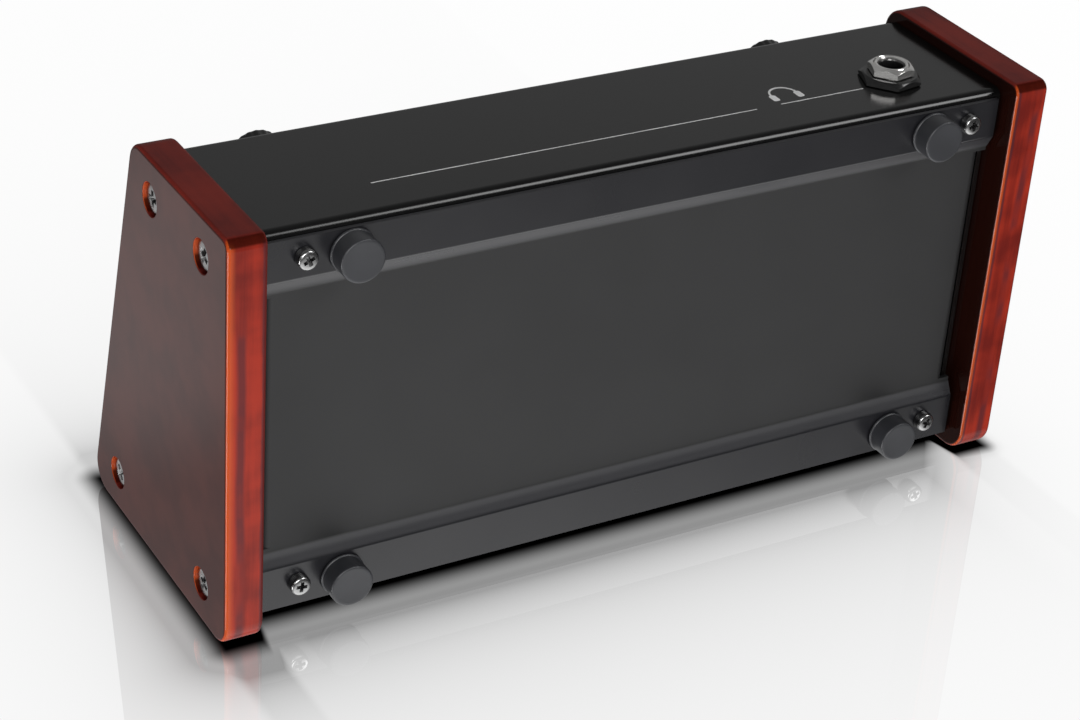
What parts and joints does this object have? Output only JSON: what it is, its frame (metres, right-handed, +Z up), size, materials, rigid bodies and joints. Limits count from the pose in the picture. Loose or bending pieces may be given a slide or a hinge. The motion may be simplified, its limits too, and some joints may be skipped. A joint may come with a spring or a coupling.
{
  "type": "studio monitor controller",
  "caption": "Desktop studio monitor controller: wooden end cheeks, folded black cover with a sloped control panel, knobs, push buttons, headphone socket, rear connectors and rubber feet.",
  "frame": {"origin": "middle of the footprint of the whole object, at the bottom of its rubber feet", "axes": "+X to the user's right, +Y to the rear where the connectors are, +Z up"},
  "size_m": [0.24, 0.1182, 0.0978],
  "materials": {
    "lacquered_wood": "red stained hardwood under high-gloss lacquer",
    "gloss_black": "gloss black paint on folded steel sheet",
    "satin_black": "satin blue-black paint on pressed steel sheet",
    "dark_steel": "black oxide",
    "bright_steel": "bright nickel plate",
    "rubber": "matt",
    "black_plastic": "semi-gloss moulded",
    "grey_plastic": "matt moulded",
    "board_green": "solder resist on glass-fibre board",
    "cable_grey": "matt sleeve"
  },
  "bodies": {
    "housing": {"cheek_left": "lacquered_wood", "cheek_right": "lacquered_wood", "cover": "gloss_black", "base_plate": "satin_black", "end_plate_left": "dark_steel", "end_plate_right": "dark_steel", "cheek_screw_left_1": "dark_steel", "cheek_screw_left_2": "dark_steel", "cheek_screw_left_3": "dark_steel", "cheek_screw_left_4": "dark_steel", "cheek_screw_right_1": "dark_steel", "cheek_screw_right_2": "dark_steel", "cheek_screw_right_3": "dark_steel", "cheek_screw_right_4": "dark_steel", "base_screw_front_left": "dark_steel", "base_screw_front_right": "dark_steel", "base_screw_rear_left": "dark_steel", "base_screw_rear_right": "dark_steel", "foot_front_left": "rubber", "foot_front_right": "rubber", "foot_rear_left": "rubber", "foot_rear_right": "rubber", "phones_jack": "black_plastic", "phones_washer": "black_plastic", "phones_nut": "bright_steel", "trim_pot": "dark_steel", "trim_pot_nut": "bright_steel", "volume_pot": "dark_steel", "volume_pot_nut": "bright_steel", "phones_pot": "dark_steel", "phones_pot_nut": "bright_steel", "main_board": "board_green", "rear_board": "board_green", "flat_cable": "cable_grey", "phones_lead": "rubber", "output_a_left": "black_plastic", "output_a_right": "black_plastic", "output_b_left": "black_plastic", "output_b_right": "black_plastic", "input_jack_left": "black_plastic", "input_nut_left": "bright_steel", "input_jack_right": "black_plastic", "input_nut_right": "bright_steel", "aux_jack": "black_plastic", "power_inlet": "black_plastic"},
    "trim_control": {"trim_knob": "black_plastic", "trim_shaft": "bright_steel"},
    "volume_control": {"volume_knob": "black_plastic", "volume_shaft": "bright_steel"},
    "phones_control": {"phones_knob": "black_plastic", "phones_shaft": "bright_steel"},
    "source_1_key": {"button_source_1": "grey_plastic"},
    "source_2_key": {"button_source_2": "grey_plastic"},
    "mono_key": {"button_mono": "grey_plastic"},
    "speakers_a_key": {"button_speakers_a": "grey_plastic"},
    "speakers_b_key": {"button_speakers_b": "grey_plastic"},
    "mute_key": {"button_mute": "grey_plastic"}
  },
  "joints": [
    {"name": "trim_turn", "type": "hinge", "parent": "housing", "child": "trim_control", "pos_m": [-0.0792, -0.0346, 0.06304], "axis": [0, -0.2533, 0.9674], "range_deg": [-150, 150]},
    {"name": "volume_turn", "type": "hinge", "parent": "housing", "child": "volume_control", "pos_m": [0, 0.00022, 0.07216], "axis": [0, -0.2533, 0.9674], "range_deg": [-150, 150]},
    {"name": "phones_turn", "type": "hinge", "parent": "housing", "child": "phones_control", "pos_m": [0.0792, -0.0346, 0.06304], "axis": [0, -0.2533, 0.9674], "range_deg": [-150, 150]},
    {"name": "source_1_press", "type": "slide", "parent": "housing", "child": "source_1_key", "axis": [0, 0.2533, -0.9674], "range_m": [0, 0.002], "stiffness_N_per_m": 300},
    {"name": "source_2_press", "type": "slide", "parent": "housing", "child": "source_2_key", "axis": [0, 0.2533, -0.9674], "range_m": [0, 0.002], "stiffness_N_per_m": 300},
    {"name": "mono_press", "type": "slide", "parent": "housing", "child": "mono_key", "axis": [0, 0.2533, -0.9674], "range_m": [0, 0.002], "stiffness_N_per_m": 300},
    {"name": "speakers_a_press", "type": "slide", "parent": "housing", "child": "speakers_a_key", "axis": [0, 0.2533, -0.9674], "range_m": [0, 0.002], "stiffness_N_per_m": 300},
    {"name": "speakers_b_press", "type": "slide", "parent": "housing", "child": "speakers_b_key", "axis": [0, 0.2533, -0.9674], "range_m": [0, 0.002], "stiffness_N_per_m": 300},
    {"name": "mute_press", "type": "slide", "parent": "housing", "child": "mute_key", "axis": [0, 0.2533, -0.9674], "range_m": [0, 0.002], "stiffness_N_per_m": 300}
  ]
}
